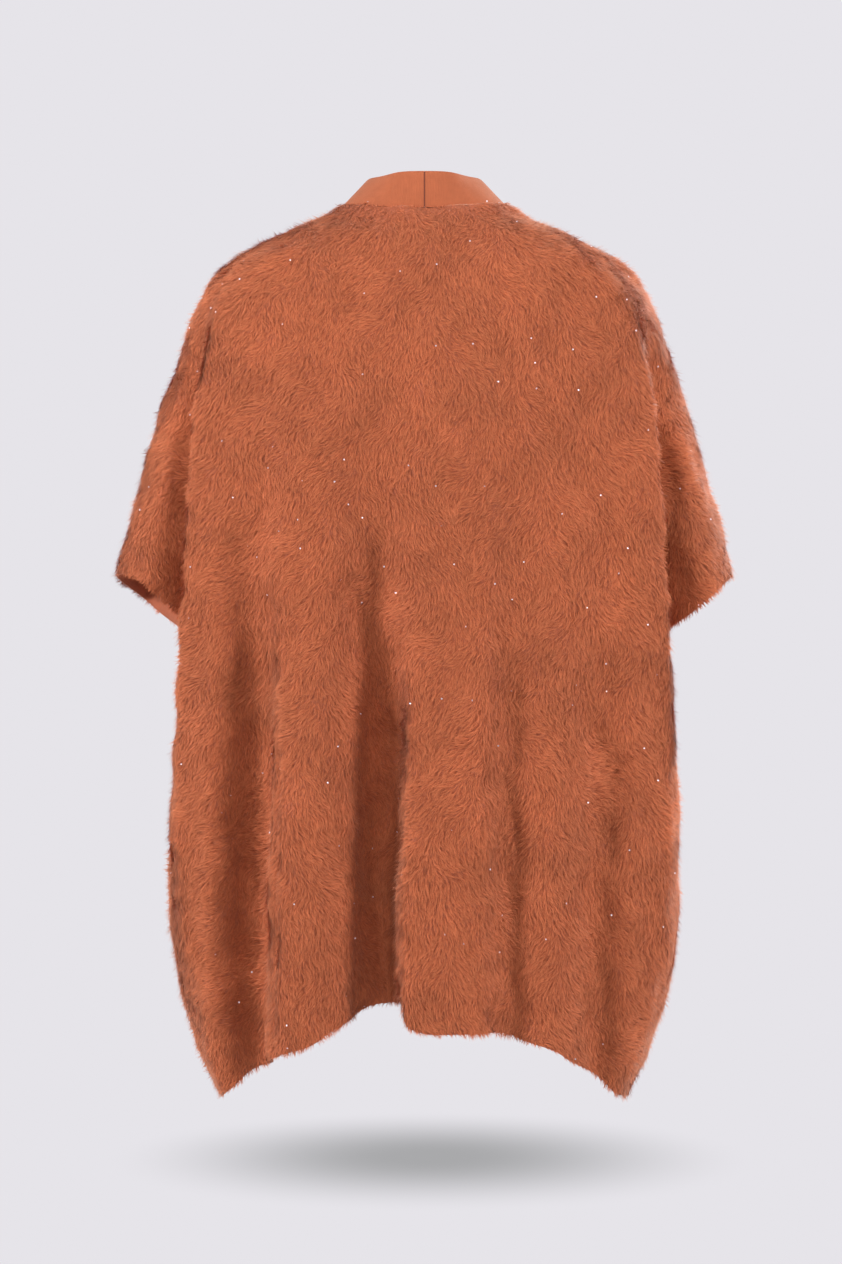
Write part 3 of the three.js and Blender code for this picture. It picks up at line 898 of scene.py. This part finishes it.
def scatterSequins(name, panel, seed):
    rng = np.random.default_rng(seed)
    chosen = np.nonzero(trianglePanel == panel)[0]
    count = int(triangleAreas[chosen].sum() * sequins["perSquareMetre"])
    places, normals, *_ = pointsOnSkin(rng, chosen, count * sequins["tries"])
    kept = []
    for index in range(len(places)):
        clear = all(np.linalg.norm(places[index] - places[other]) > sequins["apart"] for other in kept)
        if clear and len(kept) < count:
            kept.append(index)
    points = []
    faces = []
    for index in kept:
        up = unit((normals[index] + rng.normal(0, sequins["tilt"], 3))[None])[0]
        side = unit(np.cross(up, rng.normal(size=3))[None])[0]
        other = np.cross(up, side)
        centre = places[index] + normals[index] * sequins["height"]
        first = len(points)
        for x, y, z in sequinPoints:
            points.append(centre + side * x + other * y + up * z)
        faces.extend(tuple(first + v for v in face) for face in sequinFaces)
    mesh = bpy.data.meshes.new(name)
    mesh.from_pydata([tuple(p) for p in points], [], faces)
    mesh.materials.append(sequinShine)
    piece = addPiece(name, mesh)
    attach(piece, "root")
    print(name, len(kept))
    return piece


backSequins = scatterSequins("sequins_back", panel=0, seed=41)
leftSequins = scatterSequins("sequins_front_left", panel=1, seed=42)
rightSequins = scatterSequins("sequins_front_right", panel=2, seed=43)


# the neck band: two layers of fine knit folded lengthwise, so its edges are round

band = {
    "thickness": 3.8 * mm,
    "roundEdge": 1.3 * mm,
    "edgeSteps": 3,
    "edgeAngle": math.radians(50),
    "finer": 2,
    "centreBack": 1.5 * mm,
    "besidePanels": 7 * mm,
    "flat": (0.04, 1.06),
}


def distancesFrom(mesh, starts):
    # along the mesh's edges, from the nearest of the starting points
    links = [[] for _ in mesh.vertices]
    for edge in mesh.edges:
        a, b = edge.vertices
        length = (mesh.vertices[a].co - mesh.vertices[b].co).length
        links[a].append((b, length))
        links[b].append((a, length))
    distance = [math.inf] * len(mesh.vertices)
    queue = []
    for start in starts:
        distance[start] = 0
        queue.append((0, start))
    heapq.heapify(queue)
    while queue:
        reached, vertex = heapq.heappop(queue)
        if reached > distance[vertex]:
            continue
        for other, length in links[vertex]:
            if reached + length < distance[other]:
                distance[other] = reached + length
                heapq.heappush(queue, (distance[other], other))
    return distance


panelTree = treeOf(skinPoints)


def awayFromMiddle(faces):
    # the band's outer layer is the one further from the wearer's middle
    total = 0
    for face in faces:
        middle = face.calc_center_median()
        out = Vector((middle.x, middle.y, 0))
        total += face.normal.dot(out) * face.calc_area()
    return total


def makeBand(name):
    sheet = outerSheet(name, awayFromMiddle, sheetMaking["bandCorner"])
    mesh = bpy.data.meshes.new(name + "_knit")
    sheet.to_mesh(mesh)
    sheet.free()
    piece = addPiece(name + "_knit", mesh)
    finishModifier(piece, "SUBSURF", levels=band["finer"], render_levels=band["finer"],
                   boundary_smooth="PRESERVE_CORNERS")
    mesh = piece.data
    centre = [v.index for v in mesh.vertices if abs(v.co.x) < band["centreBack"] and v.co.y > 0]
    along = distancesFrom(mesh, centre)
    rims = {vertex for key in openEdges(mesh) for vertex in key}
    seam = [v for v in rims if panelTree.find(mesh.vertices[v].co)[2] < band["besidePanels"]]
    across = distancesFrom(mesh, seam)
    knitMap = mesh.uv_layers.new(name="knit")
    for loop in mesh.loops:
        knitMap.data[loop.index].uv = (along[loop.vertex_index], across[loop.vertex_index])
    mesh.materials.append(fineKnit)
    finishModifier(piece, "SOLIDIFY", thickness=band["thickness"], offset=-1, use_rim=True)
    finishModifier(piece, "BEVEL", width=band["roundEdge"], segments=band["edgeSteps"],
                   limit_method="ANGLE", angle_limit=band["edgeAngle"])
    choose(piece)
    bpy.ops.object.shade_smooth()
    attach(piece, "root")
    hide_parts(name)
    print(name, "length", round(max(along), 3), "width", round(max(across), 4))
    return piece


bandPieces = [makeBand(name) for name in bandNames]


# the centre back seam: a thin strip between the two halves of the band, a little proud, coloured near
# black as painted shade for the shadow in the seam's groove

backSeam = {
    "width": 1.2 * mm,
    "depth": 1.2 * mm,
    "proud": 0.3 * mm,
    "fromEnds": 1 * mm,
    "near": 2 * mm,
    "beside": 1.7 * mm,
    "outside": 0.2,
    "steps": 8,
}


def makeBackSeam():
    bandPiece = bandPieces[0].data
    near = [v.co for v in bandPiece.vertices if abs(v.co.x) < backSeam["near"] and v.co.y > 0]
    low = min(near, key=lambda co: co.z).z + backSeam["fromEnds"]
    high = max(near, key=lambda co: co.z).z - backSeam["fromEnds"]
    surface = surfaceOf(bandPiece)
    bpy.ops.object.select_all(action="DESELECT")
    bpy.ops.mesh.primitive_grid_add(
        x_subdivisions=1, y_subdivisions=backSeam["steps"], size=1, location=(0, 0, 0))
    seam = bpy.context.view_layer.objects.active
    for v in seam.data.vertices:
        level = low + (high - low) * (v.co.y + 0.5)
        start = Vector((backSeam["beside"], backSeam["outside"], level))
        outer = surface.ray_cast(start, Vector((0, -1, 0)))[0]
        # mirrored, so that the strip faces outwards
        v.co = Vector((v.co.x * -backSeam["width"], outer.y + backSeam["proud"], level))
    seam.name = "neck_band_back_seam"
    finishModifier(seam, "SOLIDIFY", thickness=backSeam["depth"], offset=-1)
    seam.data.materials.append(seamPaintedShade)
    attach(seam, "root")
    print("back seam from", round(low, 4), "to", round(high, 4))


makeBackSeam()

for name, piece in panelPieces.items():
    choose(piece)
    bpy.ops.object.shade_smooth()


# the pale floor runs into the background, with one soft round shade under the cape

floor = {
    "level": -0.99,
    "radius": 1.5,
    "sides": 96,
    "colour": (0.791, 0.775, 0.815, 1),
    "shade": (0.397, 0.397, 0.407, 1),
    "shadeMiddle": (-0.006, 0.0, 0.0),
    "shadeFrom": 0.03,
    "shadeTo": 0.34,
}


def makeFloor():
    bpy.ops.object.select_all(action="DESELECT")
    bpy.ops.mesh.primitive_circle_add(
        vertices=floor["sides"], radius=floor["radius"], fill_type="NGON", location=(0, 0, floor["level"]))
    plane = bpy.context.view_layer.objects.active
    plane.name = "floor"
    bpy.ops.object.transform_apply(location=True, rotation=True, scale=True)
    material, tree, shader = newMaterial("floor")
    place = addNode(tree, "ShaderNodeTexCoord").outputs["Object"]
    centred = addNode(tree, "ShaderNodeVectorMath", operation="SUBTRACT")
    centred.inputs[1].default_value = floor["shadeMiddle"]
    tree.links.new(place, centred.inputs[0])
    flat = addNode(tree, "ShaderNodeVectorMath", operation="MULTIPLY")
    flat.inputs[1].default_value = (1, 1, 0)
    tree.links.new(centred.outputs[0], flat.inputs[0])
    length = addNode(tree, "ShaderNodeVectorMath", operation="LENGTH")
    tree.links.new(flat.outputs[0], length.inputs[0])
    fade = addNode(tree, "ShaderNodeMapRange", interpolation_type="SMOOTHSTEP")
    fade.inputs["From Min"].default_value = floor["shadeFrom"]
    fade.inputs["From Max"].default_value = floor["shadeTo"]
    tree.links.new(length.outputs["Value"], fade.inputs["Value"])
    mix = addNode(tree, "ShaderNodeMix", data_type="RGBA")
    tree.links.new(fade.outputs[0], mix.inputs["Factor"])
    mix.inputs[6].default_value = floor["shade"]
    mix.inputs[7].default_value = floor["colour"]
    tree.links.new(mix.outputs[2], shader.inputs["Emission Color"])
    shader.inputs["Emission Strength"].default_value = 1
    shader.inputs["Base Color"].default_value = (0, 0, 0, 1)
    shader.inputs["Specular IOR Level"].default_value = 0
    shader.inputs["Roughness"].default_value = 1
    plane.data.materials.append(material)


makeFloor()


# soft studio light: large lamps on both sides, on the front, above and behind the camera, in a pale room

studio = {
    "seenColour": (0.791, 0.775, 0.815, 1),
    "roomColour": (1, 0.985, 0.99, 1),
    "roomStrength": 0.13,
}
lamps = rows(
    "name x y z size power", [
        ("key", 2.6, 1.5, 0.5, 0.8, 104),
        ("side", -2.6, 1.3, 0.5, 0.8, 86),
        ("fill", 0, 3.2, 1.2, 1.0, 36),
        ("front", -2.2, -2.6, 0.6, 1.6, 112),
        ("top", 0, 0.9, 2.2, 1.6, 30),
    ])


def makeStudio():
    world = bpy.data.worlds.new("room")
    world.use_nodes = True
    tree = world.node_tree
    tree.nodes.clear()
    seen = addNode(tree, "ShaderNodeBackground")
    seen.inputs["Color"].default_value = studio["seenColour"]
    lit = addNode(tree, "ShaderNodeBackground")
    lit.inputs["Color"].default_value = studio["roomColour"]
    lit.inputs["Strength"].default_value = studio["roomStrength"]
    ray = addNode(tree, "ShaderNodeLightPath")
    mix = addNode(tree, "ShaderNodeMixShader")
    tree.links.new(ray.outputs["Is Camera Ray"], mix.inputs[0])
    tree.links.new(lit.outputs[0], mix.inputs[1])
    tree.links.new(seen.outputs[0], mix.inputs[2])
    output = addNode(tree, "ShaderNodeOutputWorld")
    tree.links.new(mix.outputs[0], output.inputs[0])
    bpy.context.scene.world = world
    target = Vector((0, 0, camera["height"]))
    for lamp in lamps:
        data = bpy.data.lights.new(lamp["name"], "AREA")
        data.size = lamp["size"]
        data.energy = lamp["power"]
        light = bpy.data.objects.new(lamp["name"], data)
        light.location = (lamp["x"], lamp["y"], lamp["z"])
        light.rotation_euler = (target - light.location).to_track_quat("-Z", "Y").to_euler()
        bpy.context.collection.objects.link(light)
    bpy.context.scene.view_settings.view_transform = "Standard"


makeStudio()
print("studio set")
